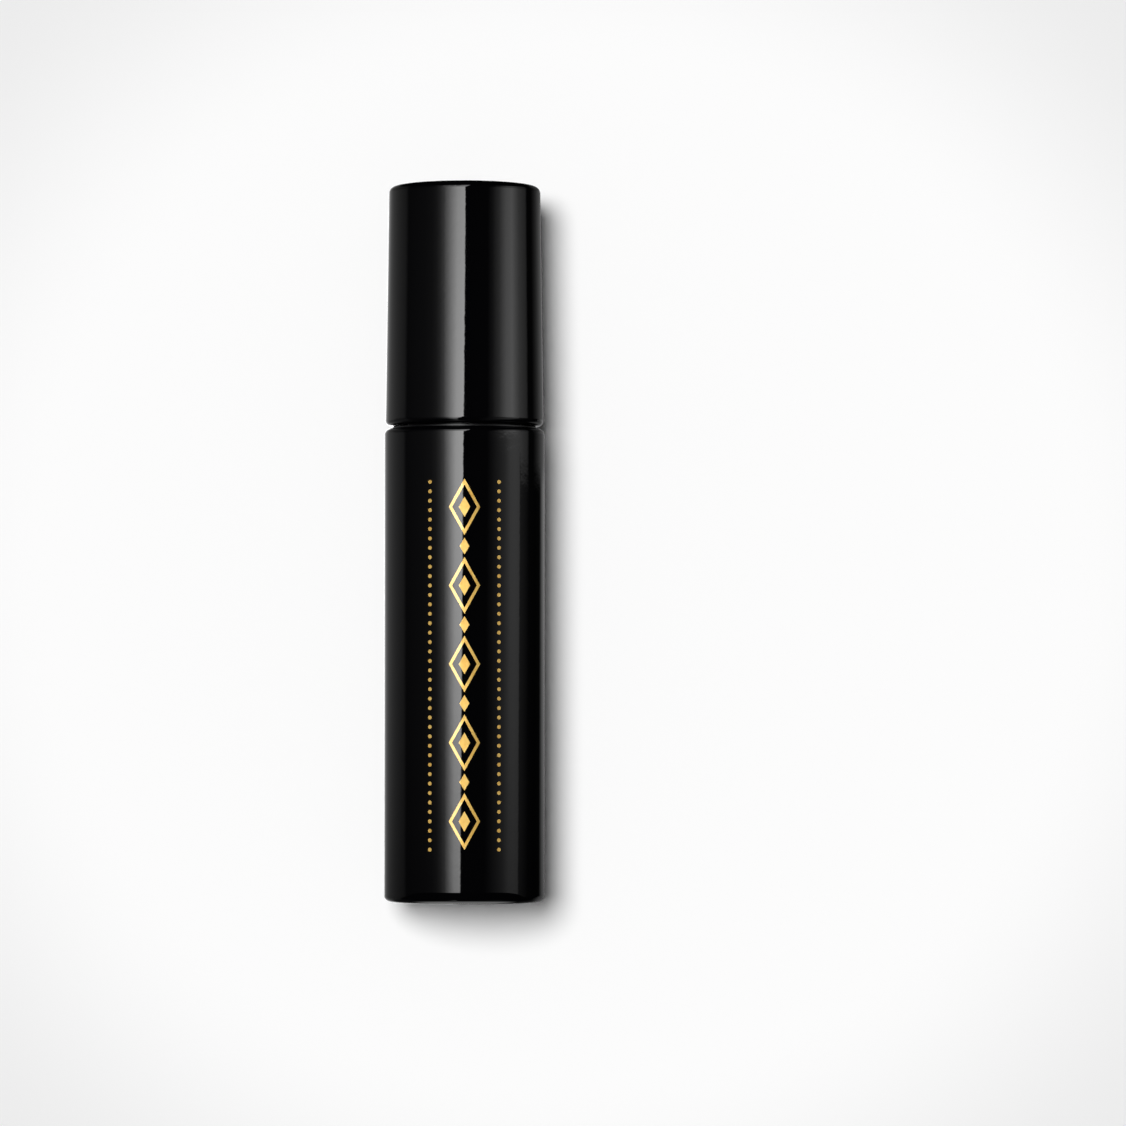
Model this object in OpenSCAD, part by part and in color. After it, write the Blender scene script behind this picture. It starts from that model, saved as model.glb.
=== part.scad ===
// Travel-size mascara: a glossy sleeve around an inner vial with a wiper, and a screw cap that
// carries a rod and a bowed, moulded brush. Millimetres, +Z up the tube, origin at the base centre.

/* [Sleeve] */
// Outside diameter of the sleeve
sleeve_d = 15.5; // [14.8:0.1:17.5]
// Height of the sleeve, from the base to its rim
sleeve_h = 45.7; // [42:0.1:56]
// Wall of the sleeve
sleeve_wall = 1.2; // [1:0.05:1.35]
// Thickness of the sleeve's closed base
base_t = 1.3; // [0.9:0.1:2]
// Radius of the base edge
base_edge_r = 0.6; // [0.2:0.05:0.8]
// Radius of the rim edge
rim_edge_r = 0.55; // [0.1:0.05:0.6]
// Width of the ring that the tube stands on, round a shallow recess
foot_ring = 2.25; // [1.2:0.05:3.5]
// Depth of that recess
foot_recess = 0.25; // [0.15:0.05:0.4]

/* [Vial] */
// Side wall of the vial
vial_wall = 0.75; // [0.6:0.05:0.9]
// Floor of the vial
vial_floor = 0.9; // [0.7:0.1:1.5]
// Radius where the vial's wall meets its floor
vial_floor_r = 1; // [0.5:0.1:2]
// Height of the shoulder that narrows the reservoir to the neck
shoulder_h = 1.6; // [1:0.1:2.5]
// How far the collar stands back from the outside of the sleeve
collar_inset = 0.75; // [0.6:0.05:1]
// Thickness of the collar that sits on the sleeve's rim
collar_t = 0.15; // [0.1:0.01:0.28]
// Wall of the neck
neck_wall = 0.66; // [0.6:0.01:0.72]
// Height of the neck above the sleeve's rim
neck_h = 10.6; // [9:0.1:12]
// Height of the stop bead above the collar
bead_lift = 0.9; // [0.5:0.1:2]
// Section radius of the stop bead
bead_r = 0.3; // [0.15:0.05:0.4]

/* [Wiper] */
// Wall of the wiper's tube
wiper_wall = 0.6; // [0.4:0.05:0.8]
// Length of the wiper's tube below its flange
wiper_tube = 7.3; // [5:0.1:8.5]
// Length of the wiper's lip cone
lip_cone = 2.6; // [1.8:0.1:3.5]
// Thickness of the lip
lip_t = 0.4; // [0.3:0.05:0.6]
// Length of the wiping edge that rides on the rod
lip_land = 0.5; // [0.3:0.1:1]
// Thickness of the wiper's flange
flange_t = 0.5; // [0.4:0.05:0.8]

/* [Cap] */
// How far the cap's mouth stands back from the outside of the sleeve
cap_step = 0.09; // [0:0.01:0.22]
// How much narrower the cap is at its closed end than at its mouth
cap_taper = 0.65; // [0.2:0.05:0.9]
// Length of the cap
cap_h = 23.25; // [21.5:0.05:28]
// Side wall of the cap's shell
cap_wall = 0.75; // [0.6:0.05:0.85]
// Thickness of the cap's closed end
cap_end_t = 1.1; // [0.8:0.1:1.6]
// Radius of the closed end's edge
cap_edge_r = 0.65; // [0.3:0.05:0.9]
// Radius of the mouth's outer edge
mouth_edge_r = 0.55; // [0.1:0.05:0.55]
// Gap between the collar and the cap's mouth
seam_gap = 0.12; // [0.1:0.01:0.5]

/* [Inner cap] */
// Wall of the skirt at the cap's mouth
skirt_wall = 0.82; // [0.7:0.01:0.84]
// Room between the neck and the inner cap's bore, for the threads
thread_room = 0.55; // [0.4:0.05:0.6]
// How far the skirt stops short of the cap's mouth
skirt_inset = 0.9; // [0.5:0.1:2]
// Thickness of the roof that the rod is fixed in
roof_t = 1.2; // [0.8:0.1:2]
// Outside diameter of the boss around the rod's stem
boss_d = 6.4; // [5.4:0.1:8]
// Number of ribs that centre the boss in the shell
rib_count = 6; // [3:1:10]
// Thickness of each rib
rib_t = 0.8; // [0.5:0.1:1.2]

/* [Seal] */
// Thickness of the seal washer
seal_t = 0.8; // [0.5:0.1:1.5]
// Room between the washer and the rod
seal_room = 0.2; // [0.1:0.05:0.5]

/* [Rod] */
// Diameter of the rod
rod_d = 4.65; // [4.4:0.05:5.2]
// Diameter of the rod at its lower end
rod_end_d = 4.3; // [3.8:0.05:4.4]
// Length of the taper at the lower end
rod_taper = 3.6; // [1:0.1:6]
// How far the rod reaches below the cap's mouth
rod_reach = 8.75; // [7:0.05:11]
// Diameter of the stem fixed in the boss
stem_d = 3.9; // [3:0.1:4.2]
// Length of the stem
stem_len = 7; // [4:0.1:7.5]
// Bore of the socket for the brush's shank
socket_d = 2.6; // [2.2:0.05:2.8]
// Depth of that socket
socket_len = 5.6; // [3:0.1:8]
// Room left above the shank at the socket's end
socket_spare = 0.2; // [0.1:0.05:0.5]
// Radius of the rod's lower edge
rod_edge_r = 0.45; // [0.2:0.05:0.55]
// Chamfer at the stem's top
stem_chamfer = 0.2; // [0.1:0.05:0.4]

/* [Brush] */
// Length of the brush below the rod
brush_l = 24.1; // [20:0.1:26]
// Width across the bristle tips
brush_w = 6.8; // [5:0.1:6.9]
// Width across the bristle tips at the free end
brush_tip_w = 3.5; // [3:0.1:5]
// Length over which the brush narrows to that width
brush_narrowing = 7; // [3:0.1:10]
// Diameter of the core at the root
core_root_d = 2.8; // [2.4:0.05:3]
// Diameter of the core at the free end
core_tip_d = 1.9; // [1.5:0.05:2.2]
// Diameter of the shoulder that seats on the rod
root_d = 3.1; // [3:0.05:3.4]
// How far the core bows to one side
brush_bow = 1.35; // [0:0.01:1.42]
// How far the free end leans back to the other side
brush_lean = 0.15; // [0:0.05:0.6]
// Number of lengthwise bristle rows
bristle_rows = 16; // [12:2:20]
// Distance between bristles in one row
bristle_pitch = 1.13; // [1:0.01:1.6]
// Share of its patch of the core that a bristle's foot covers
bristle_foot = 0.5; // [0.3:0.05:0.7]
// Bare length of the core at the root
root_bare = 0.7; // [0.5:0.05:1.5]
// Length of the bare stub at the free end
stub_len = 0.75; // [0.5:0.05:1.5]
// How far the tips of the bristles at the root lean away from the rod
root_splay = 0.4; // [0:0.05:0.6]
// Length over which that lean fades away
splay_fade = 3; // [2:0.5:8]

/* [Fits] */
// Clearance between the vial and the sleeve
vial_fit = 0.05; // [0.02:0.01:0.1]
// Clearance between the wiper's tube and the neck
wiper_fit = 0.02; // [0.01:0.01:0.05]
// Clearance between the inner cap and the cap's shell
cap_fit = 0.03; // [0.01:0.01:0.06]
// Clearance between the inner cap's ribs and the cap's shell
rib_fit = 0.1; // [0.08:0.01:0.2]
// Clearance around the rod's stem and the brush's shank
plug_fit = 0.02; // [0.01:0.01:0.05]
// Running clearance between the wiper's edge and the rod
wipe_fit = 0.03; // [0.02:0.01:0.06]

/* [Hidden] */
$fn = 96;
gloss_black = "#141414";
satin_black = "#232323";
soft_black = "#2b2b2b";
natural = "#d8d6cf";
// Overrun of a cut past the face that it opens
cut = 1;
// Depth of a straight side's end under the corner arc that it runs into
arc_tuck = 0.0002;

// Radii and levels of the sleeve and the vial
sleeve_r = sleeve_d / 2;
sleeve_bore_r = sleeve_r - sleeve_wall;
vial_r = sleeve_bore_r - vial_fit;
reservoir_r = vial_r - vial_wall;
reservoir_z0 = base_t + vial_floor;
collar_r = sleeve_r - collar_inset;
collar_z1 = sleeve_h + collar_t;

// Radii of the closure, from the cap's outside in to the neck's bore
cap_mouth_r = sleeve_r - cap_step;
inner_bore_r = cap_mouth_r - cap_wall - cap_fit - skirt_wall;
neck_r = inner_bore_r - thread_room;
neck_bore_r = neck_r - neck_wall;

// Levels of the closure, each piece seated on the one below
neck_z1 = sleeve_h + neck_h;
wiper_z1 = neck_z1 + flange_t;
seal_z1 = wiper_z1 + seal_t;
roof_z1 = seal_z1 + roof_t;
cap_z0 = collar_z1 + seam_gap;
cap_z1 = cap_z0 + cap_h;
cavity_z1 = cap_z1 - cap_end_t;
rod_r = rod_d / 2;
lip_r = rod_r + wipe_fit;
rod_end_z = cap_z0 - rod_reach;

// Draft of the cap: radius lost for each millimetre of height
cap_draft = cap_taper / 2 / cap_h;
draft_cos = cos(atan(cap_draft));
draft_sin = sin(atan(cap_draft));

// Radius of the cap's outside at a height, less an inset
function cap_r(z, inset = 0) = cap_mouth_r - cap_draft * (z - cap_z0) - inset;

// Centre of a corner arc that touches the drafted side, and the point where it touches, which is
// tucked just under the arc so that the two meet in one clean edge
function corner(z, inset, r) = [cap_r(z, inset) - r / draft_cos, z];
function touch(z, inset, r) = corner(z, inset, r) + (r - arc_tuck) * [draft_cos, draft_sin];

// Half profile of a straight round block with rounded bottom and top edges
module round_block(r, z0, z1, r_low, r_high) {
    translate([0, z0])
        square([r - r_low, z1 - z0 - r_high]);
    translate([0, z0 + r_low])
        square([r, z1 - z0 - r_low - r_high]);
    translate([0, z1 - 2 * r_high])
        square([r - r_high, 2 * r_high]);
    translate([r - r_low, z0 + r_low])
        circle(r_low);
    translate([r - r_high, z1 - r_high])
        circle(r_high);
}

// Half profile of a plug with the cap's draft, square below and rounded above
module drafted_plug(z0, z1, inset, r_high) {
    polygon([
        [0, z0],
        [cap_r(z0, inset), z0],
        touch(z1 - r_high, inset, r_high),
        [corner(z1 - r_high, inset, r_high).x, z1],
        [0, z1]
    ]);
    translate(corner(z1 - r_high, inset, r_high))
        circle(r_high);
}

// Glossy outer body, closed at the base
module outer_sleeve() {
    color(gloss_black)
        difference() {
            rotate_extrude()
                round_block(sleeve_r, 0, sleeve_h, base_edge_r, rim_edge_r);
            translate([0, 0, base_t])
                cylinder(r = sleeve_bore_r, h = sleeve_h);
            translate([0, 0, -cut])
                cylinder(r = sleeve_r - foot_ring, h = cut + foot_recess);
        }
}

// Inner bottle: reservoir, collar on the sleeve's rim, and the neck that the cap screws on
module vial() {
    neck_edge_r = (neck_r - neck_bore_r) / 3;
    color(satin_black)
        rotate_extrude()
            difference() {
                union() {
                    round_block(vial_r, base_t, collar_z1, vial_floor_r, collar_t / 3);
                    translate([0, sleeve_h])
                        square([collar_r, collar_t]);
                    round_block(neck_r, sleeve_h - shoulder_h, neck_z1, neck_edge_r, neck_edge_r);
                    translate([neck_r, collar_z1 + bead_lift])
                        circle(bead_r);
                }
                round_block(reservoir_r, reservoir_z0, sleeve_h - shoulder_h, vial_floor_r, vial_floor_r / 2);
                polygon([
                    [0, sleeve_h - shoulder_h - vial_floor_r],
                    [reservoir_r - vial_floor_r / 2, sleeve_h - shoulder_h - vial_floor_r],
                    [reservoir_r - vial_floor_r / 2, sleeve_h - shoulder_h],
                    [neck_bore_r, sleeve_h],
                    [neck_bore_r, neck_z1 + cut],
                    [0, neck_z1 + cut]
                ]);
            }
}

// Soft insert in the neck: flange on the rim, tube, and a cone down to the edge that wipes the rod
module wiper() {
    tube_r = neck_bore_r - wiper_fit;
    tube_z0 = neck_z1 - wiper_tube;
    land_z1 = tube_z0 - lip_cone;
    color(soft_black)
        rotate_extrude()
            polygon([
                [neck_r, neck_z1],
                [neck_r, wiper_z1],
                [tube_r - wiper_wall, wiper_z1],
                [tube_r - wiper_wall, tube_z0],
                [lip_r, land_z1],
                [lip_r, land_z1 - lip_land],
                [lip_r + lip_t, land_z1 - lip_land],
                [tube_r, tube_z0 - lip_t],
                [tube_r, neck_z1]
            ]);
}

// Glossy outer shell of the cap
module cap_shell() {
    low = corner(cap_z0 + mouth_edge_r, 0, mouth_edge_r);
    high = corner(cap_z1 - cap_edge_r, 0, cap_edge_r);
    color(gloss_black)
        rotate_extrude()
            difference() {
                union() {
                    polygon([
                        [0, cap_z0],
                        [low.x, cap_z0],
                        touch(cap_z0 + mouth_edge_r, 0, mouth_edge_r),
                        touch(cap_z1 - cap_edge_r, 0, cap_edge_r),
                        [high.x, cap_z1],
                        [0, cap_z1]
                    ]);
                    translate(low)
                        circle(mouth_edge_r);
                    translate(high)
                        circle(cap_edge_r);
                }
                drafted_plug(cap_z0 - cut, cavity_z1, cap_wall, cap_edge_r / 2);
            }
}

// Liner of the cap: skirt around the neck, roof, and a ribbed boss that holds the rod's stem
module inner_cap() {
    skirt_z0 = cap_z0 + skirt_inset;
    lead_in = thread_room / 2;
    color(satin_black)
        difference() {
            union() {
                rotate_extrude()
                    drafted_plug(skirt_z0, roof_z1, cap_wall + cap_fit, roof_t / 4);
                translate([0, 0, seal_z1])
                    cylinder(d = boss_d, h = cavity_z1 - seal_z1);
                intersection() {
                    for (k = [0 : rib_count - 1])
                        rotate(360 * k / rib_count)
                            translate([0, -rib_t / 2, seal_z1])
                                cube([cap_mouth_r, rib_t, cavity_z1 - cap_edge_r - seal_z1]);
                    rotate_extrude()
                        drafted_plug(skirt_z0, cavity_z1, cap_wall + rib_fit, cap_edge_r / 2);
                }
            }
            translate([0, 0, skirt_z0 - cut])
                cylinder(r = inner_bore_r, h = seal_z1 - skirt_z0 + cut);
            translate([0, 0, skirt_z0])
                cylinder(r1 = inner_bore_r + lead_in, r2 = inner_bore_r, h = lead_in);
            translate([0, 0, seal_z1 - cut])
                cylinder(d = stem_d + 2 * plug_fit, h = cut + stem_len + stem_chamfer);
        }
}

// Washer squeezed between the inner cap's roof and the wiper's flange
module seal_washer() {
    color(natural)
        translate([0, 0, wiper_z1])
            difference() {
                cylinder(r = inner_bore_r - seal_room, h = seal_t);
                translate([0, 0, -cut])
                    cylinder(r = rod_r + seal_room, h = seal_t + 2 * cut);
            }
}

// Rod: stem in the boss, shoulder under the roof, tapered lower end with the brush's socket
module rod() {
    stem_r = stem_d / 2;
    end_r = rod_end_d / 2;
    color(gloss_black)
        difference() {
            rotate_extrude() {
                polygon([
                    [0, rod_end_z],
                    [end_r - rod_edge_r, rod_end_z],
                    [end_r, rod_end_z + rod_edge_r],
                    [rod_r, rod_end_z + rod_taper],
                    [rod_r, seal_z1],
                    [stem_r, seal_z1],
                    [stem_r, seal_z1 + stem_len - stem_chamfer],
                    [stem_r - stem_chamfer, seal_z1 + stem_len],
                    [0, seal_z1 + stem_len]
                ]);
                translate([end_r - rod_edge_r, rod_end_z + rod_edge_r])
                    circle(rod_edge_r);
            }
            translate([0, 0, rod_end_z - cut])
                cylinder(d = socket_d, h = cut + socket_len);
        }
}

// Moulded brush. Its skin is a lattice of rings and columns: every second lattice point carries a
// bristle, and the points between them are the corners of the four-sided patches of core.
half_rows = bristle_rows / 2;
lattice_l = brush_l - root_bare - stub_len;
rings = 2 * floor(lattice_l / bristle_pitch);
ring_step = lattice_l / rings;
shank_r = socket_d / 2 - plug_fit;
shank_len = socket_len - socket_spare;
// Share of the pitch that odd rows lean up or down, so that the rows don't line up
row_lean = 1 / 6;
// Step along the core over which its slope is taken
slope_step = 0.05;

// Sideways place of the core at a distance s below the rod: a bow, with the free end leaning back
function bow_x(s) =
    let (t = s / brush_l)
    brush_lean * t - brush_bow * sin(180 * t);
function bow_angle(s) = atan((bow_x(s + slope_step) - bow_x(s - slope_step)) / (2 * slope_step));

// Point at a distance s below the rod, at an angle around the core and a radius from its centre
function core_point(s, angle, r) = [
    bow_x(s) + r * cos(angle) * cos(bow_angle(s)),
    r * sin(angle),
    rod_end_z - s + r * cos(angle) * sin(bow_angle(s))
];
function core_r(s) = (core_root_d + (core_tip_d - core_root_d) * s / brush_l) / 2;
function ring_s(j) = root_bare + j * ring_step;
function column_angle(i) = 360 * i / bristle_rows;
function lattice_point(i, j) = core_point(ring_s(j), column_angle(i), core_r(ring_s(j)));

// Reach of the bristles, which narrows towards the free end
function bristle_reach(s) =
    let (left = min(1, (brush_l - stub_len - s) / brush_narrowing))
    (brush_tip_w + (brush_w - brush_tip_w) * sin(90 * left)) / 2;
function tip_shift(i, s) =
    let (lean = i % 4 == 1 ? row_lean : i % 4 == 3 ? -row_lean : 0)
    lean * bristle_pitch + root_splay * max(0, 1 - s / splay_fade);
function bristle_tip(i, j) =
    let (s = ring_s(j))
    core_point(s, column_angle(i), bristle_reach(s)) - [0, 0, tip_shift(i, s)];

// Steps on the lattice from a bristle to the corners of its patch
foot_corners = [[-1, 0], [0, -1], [1, 0], [0, 1]];
foot_sides = len(foot_corners);
// Foot of a bristle: the corners of its patch, drawn in towards its middle
function foot(i, j) =
    let (middle = lattice_point(i, j))
    [for (c = foot_corners)
        middle + bristle_foot * (lattice_point(i + c.x, j + c.y) - middle)];

// Rings of the shank and root above the lattice, and of the stub below it, as points
function plain_ring(z, r, first) =
    [for (k = [0 : half_rows - 1])
        [r * cos(column_angle(2 * k + first)), r * sin(column_angle(2 * k + first)), z]];
function stub_ring(s, r) =
    [for (k = [0 : half_rows - 1]) core_point(s, column_angle(2 * k + 1), r)];
stub_edge = stub_len / 4;

module brush() {
    lattice = [for (j = [0 : rings]) for (k = [0 : half_rows - 1]) lattice_point(2 * k + (j + 1) % 2, j)];
    bristles = [for (j = [1 : rings - 1]) for (k = [0 : half_rows - 1]) [2 * k + j % 2, j]];
    strands = [for (b = bristles) for (p = concat(foot(b.x, b.y), [bristle_tip(b.x, b.y)])) p];
    shank = concat(
        plain_ring(rod_end_z + shank_len, shank_r, 1),
        plain_ring(rod_end_z, shank_r, 1),
        plain_ring(rod_end_z, root_d / 2, 1)
    );
    stub = concat(
        stub_ring(brush_l - stub_edge, core_tip_d / 2),
        stub_ring(brush_l, core_tip_d / 2 - stub_edge)
    );
    strands_at = len(lattice);
    shank_at = strands_at + len(strands);
    stub_at = shank_at + len(shank);

    // Index of a lattice corner, and the faces of one bristle with its patch
    function corner_at(i, j) = j * half_rows + floor(((i + bristle_rows) % bristle_rows) / 2);
    function strand_faces(b) =
        let (
            i = bristles[b].x,
            j = bristles[b].y,
            at = strands_at + (foot_sides + 1) * b,
            outer = [for (c = foot_corners) corner_at(i + c.x, j + c.y)]
        )
        [for (q = [0 : foot_sides - 1]) let (n = (q + 1) % foot_sides) each [
            [outer[q], outer[n], at + n],
            [outer[q], at + n, at + q],
            [at + q, at + n, at + foot_sides]
        ]];

    // Band of triangles from an upper ring to a lower one
    function band(upper, lower) =
        [for (k = [0 : half_rows - 1]) let (n = (k + 1) % half_rows) each [
            [lower + k, upper + k, upper + n],
            [lower + k, upper + n, lower + n]
        ]];
    last_ring = rings * half_rows;
    faces = concat(
        [for (b = [0 : len(bristles) - 1]) each strand_faces(b)],
        [for (k = [0 : half_rows - 1])
            [corner_at(2 * k + 1, 0), corner_at(2 * k + 3, 0), corner_at(2 * k + 2, 1)]],
        [for (k = [0 : half_rows - 1])
            [corner_at(2 * k + 1, rings), corner_at(2 * k + 2, rings - 1), corner_at(2 * k + 3, rings)]],
        band(shank_at, shank_at + half_rows),
        band(shank_at + half_rows, shank_at + 2 * half_rows),
        band(shank_at + 2 * half_rows, 0),
        band(last_ring, stub_at),
        band(stub_at, stub_at + half_rows),
        [for (k = [1 : half_rows - 2]) [shank_at, shank_at + k + 1, shank_at + k]],
        [for (k = [1 : half_rows - 2])
            [stub_at + half_rows, stub_at + half_rows + k, stub_at + half_rows + k + 1]]
    );
    color(soft_black)
        polyhedron(concat(lattice, strands, shank, stub), faces);
}

outer_sleeve();
vial();
wiper();
cap_shell();
inner_cap();
seal_washer();
rod();
brush();
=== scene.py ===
"""Looks of a travel-size mascara: gloss black sleeve and cap, gold foil, moulded brush, neck threads."""
import math

import bmesh
import bpy
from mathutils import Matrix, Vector


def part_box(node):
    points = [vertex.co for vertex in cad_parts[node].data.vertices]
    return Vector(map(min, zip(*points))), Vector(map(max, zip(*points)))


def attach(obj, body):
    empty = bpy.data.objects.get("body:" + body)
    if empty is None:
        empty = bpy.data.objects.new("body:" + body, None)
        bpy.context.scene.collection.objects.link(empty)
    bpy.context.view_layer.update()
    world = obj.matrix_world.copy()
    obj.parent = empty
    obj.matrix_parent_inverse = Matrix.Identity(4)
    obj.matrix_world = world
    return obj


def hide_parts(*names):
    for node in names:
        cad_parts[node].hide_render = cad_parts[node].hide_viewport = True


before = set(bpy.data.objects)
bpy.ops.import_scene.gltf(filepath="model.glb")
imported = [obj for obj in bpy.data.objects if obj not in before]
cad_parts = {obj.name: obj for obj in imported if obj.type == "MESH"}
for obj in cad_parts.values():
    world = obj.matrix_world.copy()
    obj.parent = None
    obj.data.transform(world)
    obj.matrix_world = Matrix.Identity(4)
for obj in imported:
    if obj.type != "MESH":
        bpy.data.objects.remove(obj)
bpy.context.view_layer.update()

MM = 0.001

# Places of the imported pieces
SLEEVE_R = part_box("outer_sleeve")[1].x
NECK_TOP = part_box("vial")[1].z
CAP_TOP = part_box("cap_shell")[1].z
ROD_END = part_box("rod")[0].z
SHANK_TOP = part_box("brush")[1].z

# The photograph: its side in pixels, the tube's place in it, and where its lens looked straight on
PHOTO_SIDE = 1126
TUBE_AXIS_PX = 464.5
TUBE_BASE_PX = 901.0
TUBE_WIDTH_PX = 160.0
LENS_AXIS_PX = (464.0, 705.0)
CAMERA_DISTANCE = 0.511
SENSOR = 36.0


def linear(hex_colour):
    """An sRGB hex colour as linear RGBA."""
    values = [int(hex_colour[i:i + 2], 16) / 255 for i in (1, 3, 5)]
    values = [v / 12.92 if v <= 0.04045 else ((v + 0.055) / 1.055) ** 2.4 for v in values]
    return (*values, 1.0)


def add(tree, kind, inputs=None, **settings):
    """Adds a node with its settings; an input is a value, or a socket to link from."""
    made = tree.nodes.new(kind)
    for name, value in settings.items():
        setattr(made, name, value)
    for name, value in (inputs or {}).items():
        if isinstance(value, bpy.types.NodeSocket):
            tree.links.new(value, made.inputs[name])
        else:
            made.inputs[name].default_value = value
    return made


def new_object(name, mesh):
    """A mesh as an object of the scene, at the origin."""
    made = bpy.data.objects.new(name, mesh)
    bpy.context.scene.collection.objects.link(made)
    return made


def mesh_of(bm, name):
    """A plain mesh of a bmesh, with its faces turned outwards."""
    bmesh.ops.recalc_face_normals(bm, faces=bm.faces)
    mesh = bpy.data.meshes.new(name)
    bm.to_mesh(mesh)
    bm.free()
    return mesh


def smooth(mesh, crease):
    """Shades a mesh smooth, apart from edges that turn by more than crease degrees."""
    mesh.shade_smooth()
    mesh.set_sharp_from_angle(angle=math.radians(crease))


SOCKETS = {float: "NodeSocketFloat", int: "NodeSocketInt"}


def new_tree(name, sizes):
    """A Geometry Nodes tree with one named input for each size, and the sockets that give them."""
    tree = bpy.data.node_groups.new(name, "GeometryNodeTree")
    tree.interface.new_socket("Geometry", in_out="INPUT", socket_type="NodeSocketGeometry")
    tree.interface.new_socket("Geometry", in_out="OUTPUT", socket_type="NodeSocketGeometry")
    for label, value in sizes.items():
        tree.interface.new_socket(label, in_out="INPUT", socket_type=SOCKETS[type(value)])
    return tree, add(tree, "NodeGroupInput").outputs


def close_tree(tree, geometry, material):
    """Ends a tree: instances made real, material set."""
    real = add(tree, "GeometryNodeRealizeInstances", {"Geometry": geometry})
    dressed = add(tree, "GeometryNodeSetMaterial", {"Geometry": real.outputs[0], "Material": material})
    add(tree, "NodeGroupOutput", {"Geometry": dressed.outputs[0]})


def grow(name, tree, sizes, start=None):
    """Runs a tree with these sizes on a start mesh, and returns its result as a plain mesh."""
    carrier = new_object(name, start or bpy.data.meshes.new(name))
    modifier = carrier.modifiers.new(name, "NODES")
    modifier.node_group = tree
    for item in tree.interface.items_tree:
        if item.in_out == "INPUT" and item.name in sizes:
            modifier[item.identifier] = sizes[item.name]
    graph = bpy.context.evaluated_depsgraph_get()
    mesh = bpy.data.meshes.new_from_object(carrier.evaluated_get(graph))
    carrier.modifiers.remove(modifier)
    bpy.data.objects.remove(carrier)
    return mesh


# Camera, at the photograph's place and framing
def photo_point(px, py):
    """The point of the tube's axis plane that a pixel of the photograph shows."""
    scale = 2 * SLEEVE_R / TUBE_WIDTH_PX
    return Vector(((px - TUBE_AXIS_PX) * scale, 0, (TUBE_BASE_PX - py) * scale))


def make_camera():
    """A camera in front of the point that the lens looked straight on at, turned to the picture's middle."""
    centre = photo_point(PHOTO_SIDE / 2, PHOTO_SIDE / 2)
    eye = photo_point(*LENS_AXIS_PX) + Vector((0, -CAMERA_DISTANCE, 0))
    frame_width = PHOTO_SIDE * 2 * SLEEVE_R / TUBE_WIDTH_PX
    data = bpy.data.cameras.new("camera")
    data.sensor_width = SENSOR
    data.lens = SENSOR * (centre - eye).length / frame_width
    data.clip_start = 0.01
    data.clip_end = 20
    camera = bpy.data.objects.new("camera", data)
    camera.location = eye
    camera.rotation_mode = "QUATERNION"
    camera.rotation_quaternion = (centre - eye).to_track_quat("-Z", "Y")
    bpy.context.scene.collection.objects.link(camera)
    bpy.context.scene.camera = camera


# Materials
def new_material(name):
    """A material with its node tree and its Principled shader."""
    material = bpy.data.materials.new(name)
    material.use_nodes = True
    tree = material.node_tree
    return material, tree, tree.nodes["Principled BSDF"]


def gloss_black_abs():
    """Injection-moulded ABS from a polished tool: black, mirror-like, with faint waviness and handling."""
    material, tree, shader = new_material("gloss_black_abs")
    place = add(tree, "ShaderNodeTexCoord").outputs["Object"]
    haze = add(tree, "ShaderNodeTexNoise", {"Vector": place, "Scale": 1 / (6 * MM), "Detail": 4.0})
    rough = add(tree, "ShaderNodeMapRange", {"Value": haze.outputs["Fac"], "From Min": 0.35,
                                             "From Max": 0.7, "To Min": 0.02, "To Max": 0.06})
    ripple = add(tree, "ShaderNodeTexNoise", {"Vector": place, "Scale": 1 / (1.6 * MM), "Detail": 3.0,
                                               "Roughness": 0.65})
    bump = add(tree, "ShaderNodeBump", {"Height": ripple.outputs["Fac"], "Distance": 0.006 * MM})
    tree.links.new(rough.outputs["Result"], shader.inputs["Roughness"])
    tree.links.new(bump.outputs["Normal"], shader.inputs["Normal"])
    shader.inputs["Base Color"].default_value = linear("#030304")
    shader.inputs["IOR"].default_value = 1.53
    return material


def satin_black_pp():
    """Moulded polypropylene from a plain tool: black, softly glossy, with a fine even grain."""
    material, tree, shader = new_material("satin_black_pp")
    place = add(tree, "ShaderNodeTexCoord").outputs["Object"]
    grain = add(tree, "ShaderNodeTexNoise", {"Vector": place, "Scale": 1 / (0.15 * MM), "Detail": 2.0})
    cloud = add(tree, "ShaderNodeTexNoise", {"Vector": place, "Scale": 1 / (4 * MM), "Detail": 3.0})
    rough = add(tree, "ShaderNodeMapRange", {"Value": cloud.outputs["Fac"], "To Min": 0.3, "To Max": 0.42})
    bump = add(tree, "ShaderNodeBump", {"Height": grain.outputs["Fac"], "Strength": 0.06,
                                        "Distance": 0.03 * MM})
    tree.links.new(rough.outputs["Result"], shader.inputs["Roughness"])
    tree.links.new(bump.outputs["Normal"], shader.inputs["Normal"])
    shader.inputs["Base Color"].default_value = linear("#0A0A0B")
    shader.inputs["IOR"].default_value = 1.49
    return material


def soft_black_ldpe():
    """Soft polyethylene of the wiper: dull black and waxy, a little lighter than the hard plastics."""
    material, tree, shader = new_material("soft_black_ldpe")
    place = add(tree, "ShaderNodeTexCoord").outputs["Object"]
    cloud = add(tree, "ShaderNodeTexNoise", {"Vector": place, "Scale": 1 / (2 * MM), "Detail": 3.0})
    tone = add(tree, "ShaderNodeMix", {"Factor": cloud.outputs["Fac"], "A": linear("#1B1B1D"),
                                       "B": linear("#262628")}, data_type="RGBA")
    tree.links.new(tone.outputs["Result"], shader.inputs["Base Color"])
    shader.inputs["Roughness"].default_value = 0.5
    shader.inputs["IOR"].default_value = 1.51
    return material


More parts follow.
